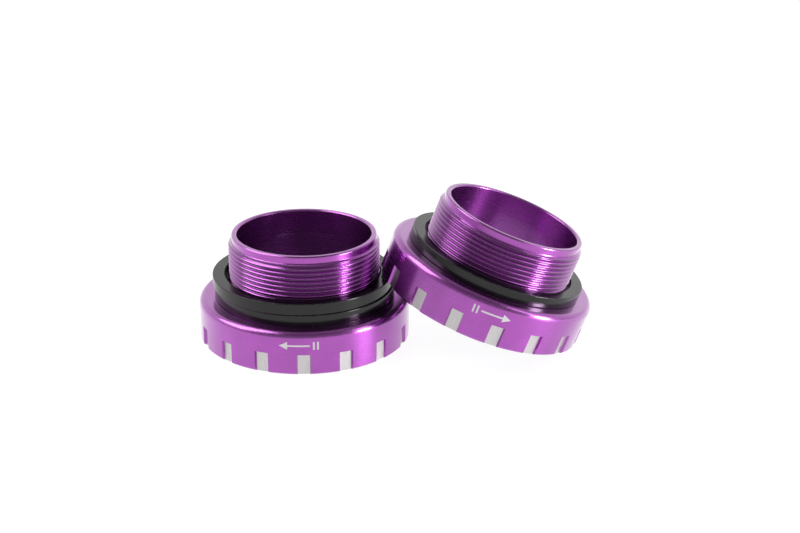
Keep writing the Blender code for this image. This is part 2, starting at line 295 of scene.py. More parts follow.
def soft_section(corners: list[tuple[float, float, float]], steps: int = 4) -> tuple[np.ndarray, np.ndarray]:
    """Rounds a section that is given in millimetres.

    Args:
        corners: Radius, height and softness of each corner, in millimetres.
        steps: Parts that each curve is cut into.

    Returns:
        The section's points in metres, and how much each is an edge, from 0 to 1.
    """
    table = np.array(corners) * MM
    points = soften(table[:, :2], table[:, 2], steps)
    wear_and_shade = np.zeros(points.shape[:2])
    wear_and_shade[:, 1:-1] = np.sin(np.linspace(0.0, math.pi, steps + 1))
    return points.reshape(-1, 2), wear_and_shade.ravel()


def turn(section: np.ndarray, wear_and_shade: np.ndarray, columns: int) -> Surface:
    """Carries a closed section once round the Z axis: x = r cos a, y = r sin a, z = h.

    Args:
        section: Radius and height of each point.
        wear_and_shade: How much each point is an edge.
        columns: Faces round the turn.

    Returns:
        The surface.
    """
    turns = np.linspace(0.0, 1.0, columns + 1)
    points = round_axis(section[:, :1], math.tau * turns, section[:, 1:])
    wear_and_shade_share = np.repeat(wear_and_shade[:, None], columns + 1, axis=1)
    bare = np.zeros((len(section), columns), bool)
    return Surface(points, unroll(turns, distance_along(section)), wear_and_shade_share, bare)


class Nodes:
    """Adds and joins the nodes of one material."""

    def __init__(self, tree: bpy.types.NodeTree) -> None:
        """Starts on an empty tree."""
        self.tree = tree
        tree.nodes.clear()

    def add(self, kind: str, settings: dict | None = None, inputs: dict | None = None) -> bpy.types.Node:
        """Adds a node.

        Args:
            kind: Blender's name for the node's type.
            settings: Values of the node's own properties.
            inputs: Values, or sockets to join, by the input's name or number.

        Returns:
            The node.
        """
        node = self.tree.nodes.new(kind)
        for key, value in (settings or {}).items():
            setattr(node, key, value)
        for key, value in (inputs or {}).items():
            if isinstance(value, bpy.types.NodeSocket):
                self.tree.links.new(value, node.inputs[key])
            else:
                node.inputs[key].default_value = value
        return node

    def math(self, operation: str, *values: Input, clamp: bool = False) -> Socket:
        """Adds a Math node that works on numbers or sockets, and gives its result."""
        settings = {"operation": operation, "use_clamp": clamp}
        return self.add("ShaderNodeMath", settings, dict(enumerate(values))).outputs[0]

    def mix(self, share: Input, first: Input, second: Input) -> Socket:
        """Mixes two colours, with share as the part of the second, and gives the mixed one."""
        node = self.add("ShaderNodeMix", {"data_type": "RGBA"}, {0: share, 6: first, 7: second})
        return node.outputs[2]

    def remap(self, value: Input, low: float, high: float, new_low: float, new_high: float) -> Socket:
        """Carries low..high to new_low..new_high in a straight line, and keeps the result in the latter."""
        inputs = {0: value, 1: low, 2: high, 3: new_low, 4: new_high}
        return self.add("ShaderNodeMapRange", {}, inputs).outputs[0]

    def vary(self, noise: Socket, first: Colour, second: Colour) -> Socket:
        """Mixes two colours by a noise, from the first where it is low to the second where it is high."""
        return self.mix(self.remap(noise, NOISE_LOW, NOISE_HIGH, 0.0, 1.0), (*first, 1.0), (*second, 1.0))

    def sway(self, noise: Socket, down: float, up: float, base: Input) -> Socket:
        """Moves a number from base + down where a noise is low to base + up where it is high."""
        return self.math("ADD", self.remap(noise, NOISE_LOW, NOISE_HIGH, down, up), base)

    def place(self) -> Socket:
        """Gives the point's place about its own axis, in metres."""
        return self.add("ShaderNodeAttribute", {"attribute_name": PLACE_NAME}).outputs["Vector"]

    def edge_wear_and_shade(self) -> Socket:
        """Gives the point's wear and painted shade: 1 on a rubbed edge, -1 in a thread groove painted dark
        as shade.
        """
        return self.add("ShaderNodeAttribute", {"attribute_name": WEAR_AND_SHADE_NAME}).outputs["Fac"]

    def round_axis(self) -> tuple[Socket, Socket, Socket]:
        """Works out where the point is about its own axis.

        Returns:
            Its radius, its angle in radians and its height.
        """
        place = self.place()
        split = self.add("ShaderNodeSeparateXYZ", {}, {0: place})
        flat = self.add("ShaderNodeVectorMath", {"operation": "MULTIPLY"}, {0: place, 1: (1.0, 1.0, 0.0)})
        length = self.add("ShaderNodeVectorMath", {"operation": "LENGTH"}, {0: flat.outputs[0]})
        angle = self.math("ARCTAN2", split.outputs[1], split.outputs[0])
        return length.outputs["Value"], angle, split.outputs[2]

    def noise(self, vector: Socket, scale: float, detail: float = 2.0, rough: float = 0.5) -> Socket:
        """Adds noise that changes every way, with about scale swells in a metre, and gives its value."""
        inputs = {"Vector": vector, "Scale": scale, "Detail": detail, "Roughness": rough}
        return self.add("ShaderNodeTexNoise", {"noise_dimensions": "3D"}, inputs).outputs[0]

    def tool_marks(self, scale: float, detail: float) -> Socket:
        """Adds noise in rings about the axis, as a lathe leaves: it changes with radius plus height only.

        Args:
            scale: How many marks there are in a metre.
            detail: How many finer layers lie on them.

        Returns:
            Its value, mostly between NOISE_LOW and NOISE_HIGH.
        """
        radius, _, height = self.round_axis()
        inputs = {"W": self.math("ADD", radius, height), "Scale": scale, "Detail": detail}
        return self.add("ShaderNodeTexNoise", {"noise_dimensions": "1D"}, inputs).outputs[0]

    def bump(self, height: Socket, strength: float, distance: float, normal: Socket | None = None) -> Socket:
        """Adds a Bump node.

        Args:
            height: The height of the surface.
            strength: How strongly it shows, from 0 to 1.
            distance: The height that a value of 1 stands for, in metres.
            normal: The normal that it starts from, if that is another bump's.

        Returns:
            The bumped normal.
        """
        inputs = {"Height": height, "Strength": strength, "Distance": distance}
        if normal is not None:
            inputs["Normal"] = normal
        return self.add("ShaderNodeBump", {}, inputs).outputs[0]

    def band(self, value: Socket, middle: float, half: Input, soft: float) -> Socket:
        """Draws a band.

        Args:
            value: The number that the band is drawn along.
            middle: Where its middle is.
            half: Half its width.
            soft: Width of its soft edges.

        Returns:
            1 within the band and 0 outside.
        """
        off = self.math("ABSOLUTE", self.math("SUBTRACT", value, middle))
        inside = self.math("SUBTRACT", half, off)
        return self.math("DIVIDE", inside, soft, clamp=True)

    def finish(self, inputs: dict[str, Input]) -> None:
        """Joins a Principled shader with these inputs to the output."""
        shader = self.add("ShaderNodeBsdfPrincipled", {}, inputs)
        self.add("ShaderNodeOutputMaterial", {}, {0: shader.outputs[0]})


def new_material(name: str) -> tuple[Material, Nodes]:
    """Makes a material with an empty tree.

    Args:
        name: The material's name.

    Returns:
        The material, and what adds its nodes.
    """
    material = bpy.data.materials.new(name)
    material.use_nodes = True
    return material, Nodes(material.node_tree)


@dataclass(frozen=True)
class DirectionMark:
    """The etched arrow on a flange that shows which way the cup tightens, with two bars behind it.

    Lengths are along the flange and along the axis, in metres; the angle is about the axis, in radians.
    """

    angle: float
    height: float
    radius: float
    way: int
    half_shaft: float = 0.22 * MM
    half_length: float = 3.4 * MM
    half_head: float = 0.95 * MM
    head_slope: float = 0.5
    bar_gaps: tuple[float, float] = (0.9 * MM, 1.8 * MM)
    soft: float = 0.04 * MM
    depth: float = 0.3 * MM

    def mask(self, nodes: Nodes) -> Socket:
        """Draws the arrow.

        Args:
            nodes: The material's nodes.

        Returns:
            1 on the mark and 0 elsewhere.
        """
        radius, angle, height = nodes.round_axis()
        off = nodes.math("SUBTRACT", angle, self.angle)
        along = nodes.math("MULTIPLY", off, self.way * self.radius)

        def patch(middle: float, reach: float, half: Input) -> Socket:
            """Draws a patch that is reach long each way from middle, and half high each way."""
            long_way = nodes.band(along, middle, reach, self.soft)
            return nodes.math("MULTIPLY", long_way, nodes.band(height, self.height, half, self.soft))

        neck = self.half_length - 2 * self.half_head
        tail = -self.half_length
        from_tip = nodes.math("SUBTRACT", self.half_length, along)
        taper = nodes.math("MULTIPLY", from_tip, self.head_slope)
        shaft = patch((tail + neck) / 2, (neck - tail) / 2 + self.soft, self.half_shaft)
        head = patch((neck + self.half_length) / 2, self.half_head, taper)
        mark = nodes.math("MAXIMUM", shaft, head)
        for gap in self.bar_gaps:
            mark = nodes.math("MAXIMUM", mark, patch(tail - gap, self.half_shaft, self.half_head))
        outside = nodes.math("GREATER_THAN", radius, self.radius - self.depth)
        return nodes.math("MULTIPLY", mark, outside)


def tinted(colour: Colour, share: float) -> Colour:
    """Gives a colour made lighter or darker by a share, and no lighter than white."""
    return tuple(min(1.0, share * part) for part in colour)


@dataclass(frozen=True)
class PurpleAnodise:
    """Bright purple anodising over turned aluminium: tinted metal under a clear oxide skin.

    Its tint is cloudy over a few millimetres. Edges are rubbed a little, and the thread's grooves are
    painted dark as shade.
    """

    name: str = "purple_anodised"
    colour: Colour = (0.37, 0.068, 0.42)
    bare: Colour = (0.74, 0.70, 0.74)
    # Painted shade: the near-black purple that the thread's grooves are darkened towards.
    groove_shade: Colour = (0.05, 0.004, 0.06)
    deepest: float = 0.93
    lightest: float = 1.06
    # How strongly the thread's grooves take the painted shade.
    groove_shade_strength: float = 0.8
    least_rub: float = 0.05
    most_rub: float = 0.3
    roughness: float = 0.25
    etched_roughness: float = 0.2
    anisotropy: float = 0.75
    oxide_ior: float = 1.5
    oxide_roughness: float = 0.11
    mark_scale: float = 6000.0
    cloud_scale: float = 220.0
    speck_scale: float = 2600.0
    mark_depth: float = 0.02 * MM

    def material(self, mark: DirectionMark) -> Material:
        """Builds the finish.

        Args:
            mark: The mark etched through it.

        Returns:
            The material.
        """
        material, nodes = new_material(f"{self.name}_{'left' if mark.way < 0 else 'right'}")
        tool_marks = nodes.tool_marks(self.mark_scale, 3.0)
        cloud = nodes.noise(nodes.place(), self.cloud_scale, 3.0)
        speck = nodes.noise(nodes.place(), self.speck_scale)
        wear_and_shade_share = nodes.edge_wear_and_shade()
        rub = nodes.remap(speck, 0.4, 0.75, self.least_rub, self.most_rub)
        rubbed = nodes.math("MULTIPLY", wear_and_shade_share, rub, clamp=True)
        # Painted shade in the thread's grooves, from the negative part of the wear and shade attribute.
        groove_shade = nodes.math("MULTIPLY", wear_and_shade_share, -self.groove_shade_strength, clamp=True)
        etched = mark.mask(nodes)
        body = nodes.vary(cloud, tinted(self.colour, self.deepest), tinted(self.colour, self.lightest))
        body = nodes.mix(rubbed, body, (*self.bare, 1.0))
        # Darkens the thread's grooves with painted shade.
        body = nodes.mix(groove_shade, body, (*self.groove_shade, 1.0))
        body = nodes.mix(etched, body, (*self.bare, 1.0))
        gloss = nodes.sway(tool_marks, -0.02, 0.03, self.roughness)
        gloss = nodes.sway(speck, -0.008, 0.012, gloss)
        gloss = nodes.math("ADD", gloss, nodes.math("MULTIPLY", etched, self.etched_roughness))
        tangent = nodes.add("ShaderNodeTangent", {"direction_type": "UV_MAP", "uv_map": UNROLLED_NAME})
        nodes.finish(
            {
                "Base Color": body,
                "Metallic": 1.0,
                "Roughness": gloss,
                "Anisotropic": self.anisotropy,
                "Anisotropic Rotation": QUARTER_TURN,
                "Tangent": tangent.outputs[0],
                "Coat Weight": 1.0,
                "Coat Roughness": self.oxide_roughness,
                "Coat IOR": self.oxide_ior,
                "Normal": nodes.bump(tool_marks, 0.07, self.mark_depth),
            }
        )
        return material


@dataclass(frozen=True)
class BareAluminium:
    """Aluminium as the cutter left it, with its grain along the cup's axis."""

    name: str = "bare_aluminium"
    colour: Colour = (0.64, 0.61, 0.625)
    dullest: float = 0.8
    roughness: float = 0.38
    grain_scale: float = 5200.0
    grain_stretch: float = 0.06
    grain_depth: float = 0.03 * MM
    cloud_scale: float = 420.0

    def material(self) -> Material:
        """Builds the finish.

        Returns:
            The material.
        """
        material, nodes = new_material(self.name)
        radius, angle, height = nodes.round_axis()
        across = nodes.math("MULTIPLY", angle, radius)
        along = nodes.math("MULTIPLY", height, self.grain_stretch)
        grain_place = nodes.add("ShaderNodeCombineXYZ", {}, {0: across, 1: along})
        grain = nodes.noise(grain_place.outputs[0], self.grain_scale, 3.0, 0.6)
        cloud = nodes.noise(nodes.place(), self.cloud_scale)
        gloss = nodes.sway(grain, -0.06, 0.08, self.roughness)
        nodes.finish(
            {
                "Base Color": nodes.vary(grain, tinted(self.colour, self.dullest), self.colour),
                "Metallic": 1.0,
                "Roughness": nodes.sway(cloud, -0.04, 0.04, gloss),
                "Normal": nodes.bump(grain, 0.35, self.grain_depth),
            }
        )
        return material


@dataclass(frozen=True)
class BlackAnodise:
    """Satin black anodising on the turned spacers, rubbed grey on their edges."""

    name: str = "black_anodised"
    colour: Colour = (0.002, 0.002, 0.002)
    rubbed: Colour = (0.16, 0.16, 0.165)
    lightest: float = 1.7
    most_rub: float = 0.35
    roughness: float = 0.15
    ior: float = 1.45
    mark_scale: float = 5200.0
    speck_scale: float = 3400.0
    cloud_scale: float = 260.0
    mark_depth: float = 0.02 * MM

    def material(self) -> Material:
        """Builds the finish.

        Returns:
            The material.
        """
        material, nodes = new_material(self.name)
        tool_marks = nodes.tool_marks(self.mark_scale, 3.0)
        speck = nodes.noise(nodes.place(), self.speck_scale)
        cloud = nodes.noise(nodes.place(), self.cloud_scale)
        rub = nodes.remap(speck, 0.45, 0.75, 0.0, self.most_rub)
        wear_and_shade_share = nodes.math("MULTIPLY", nodes.edge_wear_and_shade(), rub)
        body = nodes.vary(cloud, self.colour, tinted(self.colour, self.lightest))
        gloss = nodes.sway(tool_marks, -0.05, 0.05, self.roughness)
        fine = nodes.bump(speck, 0.15, self.mark_depth)
        nodes.finish(
            {
                "Base Color": nodes.mix(wear_and_shade_share, body, (*self.rubbed, 1.0)),
                "Metallic": 0.0,
                "Roughness": nodes.sway(speck, -0.03, 0.04, gloss),
                "IOR": self.ior,
                "Normal": nodes.bump(tool_marks, 0.2, self.mark_depth, fine),
            }
        )
        return material


@dataclass(frozen=True)
class BearingSteel:
    """Ground and polished bearing steel."""

    name: str = "bearing_steel"
    colour: Colour = (0.60, 0.61, 0.63)
    dullest: float = 0.88
    roughness: float = 0.16
    grinding_scale: float = 9000.0
    grinding_depth: float = 0.01 * MM
    cloud_scale: float = 500.0

    def material(self) -> Material:
        """Builds the finish.

        Returns:
            The material.
        """
        material, nodes = new_material(self.name)
        grinding = nodes.tool_marks(self.grinding_scale, 4.0)
        cloud = nodes.noise(nodes.place(), self.cloud_scale, 3.0)
        nodes.finish(
            {
                "Base Color": nodes.vary(cloud, tinted(self.colour, self.dullest), self.colour),
                "Metallic": 1.0,
                "Roughness": nodes.sway(grinding, -0.04, 0.06, self.roughness),
                "Normal": nodes.bump(grinding, 0.12, self.grinding_depth),
            }
        )
        return material


@dataclass(frozen=True)
class MouldedSkin:
    """A moulded rubber or nylon surface with a fine grain, a little lighter in clouds."""

    name: str
    colour: Colour
    roughness: float
    lightest: float = 1.5
    bloom: float = 0.004
    ior: float = 1.5
    grain_scale: float = 4200.0
    grain_depth: float = 0.03 * MM
    cloud_scale: float = 300.0

    def material(self) -> Material:
        """Builds the finish.

        Returns:
            The material.
        """
        material, nodes = new_material(self.name)
        grain = nodes.noise(nodes.place(), self.grain_scale, 3.0, 0.6)
        cloud = nodes.noise(nodes.place(), self.cloud_scale)
        light = tuple(self.lightest * part + self.bloom for part in self.colour)
        nodes.finish(
            {
                "Base Color": nodes.vary(cloud, self.colour, light),
                "Roughness": nodes.sway(grain, -0.08, 0.08, self.roughness),
                "IOR": self.ior,
                "Normal": nodes.bump(grain, 0.3, self.grain_depth),
            }
        )
        return material


@dataclass(frozen=True)
class Finishes:
    """The finishes that both cups share."""

    bare: Material
    black: Material
    steel: Material
    rubber: Material
    nylon: Material

    @classmethod
    def mixed(cls) -> "Finishes":
        """Builds them all.

        Returns:
            The finishes.
        """
        return cls(
            bare=BareAluminium().material(),
            black=BlackAnodise().material(),
            steel=BearingSteel().material(),
            rubber=MouldedSkin("seal_rubber", (0.016, 0.016, 0.017), 0.55).material(),
            nylon=MouldedSkin("cage_nylon", (0.42, 0.19, 0.07), 0.42).material(),
        )


def show(piece: bpy.types.Object, body: str, slot: str, *nodes: str) -> None:
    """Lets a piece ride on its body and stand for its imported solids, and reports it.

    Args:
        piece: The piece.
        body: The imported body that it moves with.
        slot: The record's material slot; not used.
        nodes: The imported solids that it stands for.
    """
    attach(piece, body)
    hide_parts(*nodes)
    LOG.info("%s: %d triangles, rides on %s", piece.name, len(piece.data.polygons), body)


@dataclass(frozen=True)
class Notches:
    """The tool notches round a flange, with flat floors and flared walls, in metres and radians."""

    turn: float
    count: int = 16
    floor_radius: float = 23.8 * MM
    rim_radius: float = 24.4 * MM
    floor_half: float = 1.35 * MM
    height: float = 4.5 * MM
    flare: float = 0.24 * MM
    slack: float = 0.1 * MM

    @property
    def floor_edge(self) -> float:
        """Angle from a notch's middle to the edge of its floor."""
        return math.atan(self.floor_half / self.floor_radius)

    @property
    def rim_edge(self) -> float:
        """Angle from a notch's middle to where its wall meets the flange."""
        return math.asin((self.floor_half + self.flare) / self.rim_radius)

    @property
    def step(self) -> float:
        """Angle from one notch's middle to the next."""
        return math.tau / self.count

    def columns(self) -> np.ndarray:
        """Spaces the columns of a turn so that the edges of every notch lie on one.

        Half a sector goes from a notch's middle to halfway to the next, by shares of its floor, of its wall
        and of what lies between two notches. The other half mirrors it.

        Returns:
            Angles in radians, from one notch's middle once round to it again.
        """
        floor = self.floor_edge * np.array([0.0, 0.5, 0.9, 0.97, 1.0])
        wall = self.floor_edge + (self.rim_edge - self.floor_edge) * np.array([0.35, 0.75, 1.0])
        between = self.rim_edge + (self.step / 2 - self.rim_edge) * np.array([0.02, 0.1, 0.3, 0.5, 0.75])
        half = np.concatenate([floor, wall, between])
        sector = np.concatenate([half, [self.step / 2], self.step - half[:0:-1]])
        starts = np.arange(self.count)[:, None] * self.step
        return np.append((starts + sector).ravel(), math.tau) + self.turn

    def rows(self) -> np.ndarray:
        """Gives the heights of the rows at the notches' tops: height plus shares of the flare, in metres."""
        return self.height + self.flare * np.array([-5 / 8, -1 / 12, 0, 1 / 3, 2 / 3, 1, 13 / 12, 5 / 3])

    def off_middle(self, angles: np.ndarray) -> np.ndarray:
        """Gives how far each angle is from the middle of the nearest notch."""
        return np.abs((angles - self.turn + self.step / 2) % self.step - self.step / 2)

    def carve(self, radius: np.ndarray, height: np.ndarray, angles: np.ndarray) -> np.ndarray:
        """Lowers a flange's surface into the notches.

        The floor is a plane at floor_radius from the axis, so its radius is floor_radius / cos(off). Between
        the floor's edge and the rim the radius rises in a straight line, along the flange and the axis.

        Args:
            radius: Radius of each row of the section, as a column.
            height: Height of each row, as a column.
            angles: Angle of each column of the grid.

        Returns:
            Radius of every point of the grid.
        """
        off = self.off_middle(angles)[None, :]
        side = np.clip((off - self.floor_edge) / (self.rim_edge - self.floor_edge), 0.0, 1.0)
        top = np.clip((height - self.height) / self.flare, 0.0, 1.0)
        rise = np.maximum(side, top)
        floor = self.floor_radius / np.cos(np.minimum(off, self.floor_edge))
        lowered = np.minimum(radius, floor + (self.rim_radius - floor) * rise)
        return np.where(rise >= 1.0, radius, lowered)

    def on_floor(self, radius: np.ndarray, height: np.ndarray, angles: np.ndarray) -> np.ndarray:
        """Tells which points lie on a notch's floor.

        Args:
            radius: Radius of every point of the grid.
            height: Height of every point.
            angles: Angle of each column.

        Returns:
            True for each point on a floor.
        """
        low = height <= self.height + HAIR
        beside = self.off_middle(angles)[None, :] <= self.floor_edge + HAIR / self.floor_radius
        return low & beside & (np.abs(radius - self.floor_radius) < self.slack)


@dataclass(frozen=True)
class Thread:
    """A 24 turns to the inch thread, rounded at its crests and roots and faded at its ends, in metres."""

    bottom: float
    top: float
    hand: ThreadHand
    root: float = 16.78 * MM
    depth: float = 0.62 * MM
    pitch: float = 25.4 / 24 * MM
    fade: float = 0.5 * MM
    rubbed_form: float = 0.9
    # Form under which a groove gets painted shade.
    groove_shade_form: float = 0.7

    def rows(self, angles: np.ndarray) -> tuple[np.ndarray, np.ndarray, np.ndarray]:
        """Works out the thread's rows, which climb with it.

        A row at s pitches has height bottom + pitch (s + hand a / 2 pi) at angle a, held between the ends.
        Its radius is root + depth times a form that is 0 at whole s and 1 half a pitch on.

        The crests are rubbed where the form is over rubbed_form, and the grooves are painted dark as shade
        where it is under groove_shade_form.

        Args:
            angles: Angle of each column.

        Returns:
            Radius, height, and wear and painted groove shade of every point, as rows by columns.
        """
        share = np.array([0.0, 0.12, 0.29, 0.43, 0.5, 0.57, 0.71, 0.88])
        form = np.array([0.0, 0.03, 0.48, 0.95, 1.0, 0.95, 0.48, 0.03])
        pitches = np.arange(-1, math.ceil((self.top - self.bottom) / self.pitch) + 2)
        s = (pitches[:, None] + share).ravel()[:, None]
        form = np.tile(form, len(pitches))[:, None]
        height = self.bottom + self.pitch * (s + self.hand.value * angles / math.tau)
        height = np.clip(height, self.bottom, self.top)
        ends = np.minimum(height - self.bottom, self.top - height)
        full = np.clip(ends / self.fade, 0.0, 1.0)
        rubbed = np.clip((form - self.rubbed_form) * 6.0, 0.0, 1.0)
        # Painted shade: the grooves are marked -1, to be darkened in the finish.
        groove_shade = np.clip(1.0 - form / self.groove_shade_form, 0.0, 1.0)
        return self.root + self.depth * form * full, height, rubbed - groove_shade * full


@dataclass(frozen=True)
class Cup:
    """A threaded cup, in millimetres: barrel up, flange below, with a pocket for the bearing.

    The notches are cut where the skin is beyond cut_beyond from the axis and under cut_below.
    """

    side: Side
    top: float
    hand: ThreadHand
    notches: Notches
    mark: DirectionMark
    flange_radius: float = 24.4
    flange_height: float = 9.85
    flange_round: float = 1.4
    bore: float = 15.4
    rim_bevel: float = 0.25
    lead_in: float = 16.65
    lead_in_height: float = 1.6
    root: float = 16.78
    relief: float = 0.6
    pocket_radius: float = 21.3
    pocket_ceiling: float = 8.65
    recess_radius: float = 19.4
    recess_ceiling: float = 8.95
    mouth_bevel: float = 0.3
    cut_beyond: float = 23.0
    cut_below: float = 6.0

    def corners(self) -> list[tuple[float, float, float]]:
        """Lists the corners, from the head of the thread over the rim, down the bore and round the flange.

        Returns:
            Radius, height and softness of each corner.
        """
        crisp, seat, rim, mouth = 0.001, 0.05, 0.11, 0.09
        shoulder = self.top - self.lead_in_height
        return [
            (self.root, shoulder, crisp),
            (self.lead_in, shoulder, 0.04),
            (self.lead_in, self.top - self.rim_bevel, rim),
            (self.lead_in - self.rim_bevel, self.top, rim),
            (self.bore + self.rim_bevel, self.top, rim),
            (self.bore, self.top - self.rim_bevel, rim),
            (self.bore, self.recess_ceiling, seat),
            (self.recess_radius, self.recess_ceiling, seat),
            (self.recess_radius, self.pocket_ceiling, seat),
            (self.pocket_radius, self.pocket_ceiling, 0.1),
            (self.pocket_radius, self.mouth_bevel, mouth),
            (self.pocket_radius + self.mouth_bevel, 0.0, mouth),
            (self.flange_radius - self.mouth_bevel, 0.0, mouth),
            (self.flange_radius, self.mouth_bevel, mouth),
            (self.flange_radius, self.flange_height - self.flange_round, crisp),
            (self.flange_radius - self.flange_round, self.flange_height, crisp),
            (self.root, self.flange_height, 0.08),
            (self.root, self.flange_height + self.relief, crisp),
        ]

    def section(self) -> tuple[np.ndarray, np.ndarray]:
        """Works out the section, from the thread's head over the rim and the pocket to the thread's foot.

        Its corners are softened, but the flange's upper edge is a quarter of a circle, and the flange's side
        has the rows that the notches need. Corner 0, the two of the flange's round and the last one only
        give their neighbours a direction.

        Returns:
            Radius and height of each point in metres, and how much each is an edge.
        """
        kept, foot = slice(1, 14), 16
        corners = self.corners()
        points, wear_and_shade = soft_section(corners)
        points = points.reshape(len(corners), -1, 2)
        wear_and_shade = wear_and_shade.reshape(len(corners), -1)
        rows = self.notches.rows()
        side = np.column_stack([np.full(len(rows), self.flange_radius * MM), rows])
        bend = np.linspace(0.0, math.pi / 2, 11)
        middle = [self.flange_radius - self.flange_round, self.flange_height - self.flange_round]
        arc = (middle + self.flange_round * np.column_stack([np.cos(bend), np.sin(bend)])) * MM
        below = arc[:1] - [[0.0, 0.3 * MM]]
        beside = arc[-1:] - [[0.4 * MM, 0.0]]
        section = np.concatenate([points[kept].reshape(-1, 2), side, below, arc, beside, points[foot]])
        flat, bent = np.zeros(len(side) + 1), 0.4 * np.sin(2 * bend)
        return section, np.concatenate([wear_and_shade[kept].ravel(), flat, bent, [0.0], wear_and_shade[foot]])

    def surface(self) -> Surface:
        """Works out the whole skin: the thread's rows, then the section's rows with the notches carved.

        Returns:
            The skin, with the notches' floors bare.
        """
        angles = self.notches.columns()
        bottom = (self.flange_height + self.relief) * MM
        thread = Thread(bottom, (self.top - self.lead_in_height) * MM, self.hand, self.root * MM)
        thread_radius, thread_height, thread_wear_and_shade = thread.rows(angles)
        section, edges = self.section()
        radius, height = section[:, :1], section[:, 1:]
        on_flange = (radius > self.cut_beyond * MM) & (height < self.cut_below * MM)
        carved = np.where(on_flange, self.notches.carve(radius, height, angles), radius)
        radius = np.concatenate([thread_radius, carved])
        height = np.concatenate([thread_height, height + 0 * angles])
        before_section = thread_height[:, :1] - THREAD_UNROLLED
        along = np.concatenate([before_section, distance_along(section)])
        # Wear on edges, and painted shade in the thread's grooves.
        wear_and_shade = np.concatenate([thread_wear_and_shade, edges[:, None] + 0 * angles])
        floor = self.notches.on_floor(radius, height, angles)
        above = np.roll(floor, -1, axis=0)
        bare = floor[:, :-1] & floor[:, 1:] & above[:, :-1] & above[:, 1:]
        return Surface(round_axis(radius, angles, height), unroll(angles / math.tau, along), wear_and_shade, bare)

    def build(self, finishes: Finishes) -> None:
        """Makes the cup and dresses it.

        Args:
            finishes: The shared finishes.
        """
        stand = AxisFrame.of_node(f"{self.side.value}_outer_race", self.side, Bearing.middle * MM)
        node = f"{self.side.value}_cup"
        anodised = PurpleAnodise().material(self.mark)
        piece = self.surface().into_piece(f"{node}_anodised", stand, [anodised, finishes.bare])
        show(piece, node, "purple_anodised", node)


@dataclass(frozen=True)
class Spacer:
    """A plain ring on a barrel, in millimetres. Its flats reach a little nearer to what they lie on."""

    side: Side
    node: str
    hole: float = 18.1
    radius: float = 20.8
    thickness: float = 2.35
    seating: float = 0.13
    softness: float = 0.2
    hole_softness: float = 0.08
    columns: int = 256

    def build(self, finishes: Finishes) -> None:
        """Makes the ring and dresses it.

        Args:
            finishes: The shared finishes.
        """
        low, high = -self.seating, self.thickness + self.seating
        corners = [
            (self.hole, low, self.hole_softness),
            (self.radius, low, self.softness),
            (self.radius, high, self.softness),
            (self.hole, high, self.hole_softness),
        ]
        section, wear_and_shade = soft_section(corners, 6)
        stand = AxisFrame.of_node(self.node, self.side, self.thickness / 2 * MM)
        ring = turn(section, wear_and_shade, self.columns)
        piece = ring.into_piece(f"{self.node}_anodised", stand, [finishes.black])
        show(piece, self.node, "black_anodised", self.node)


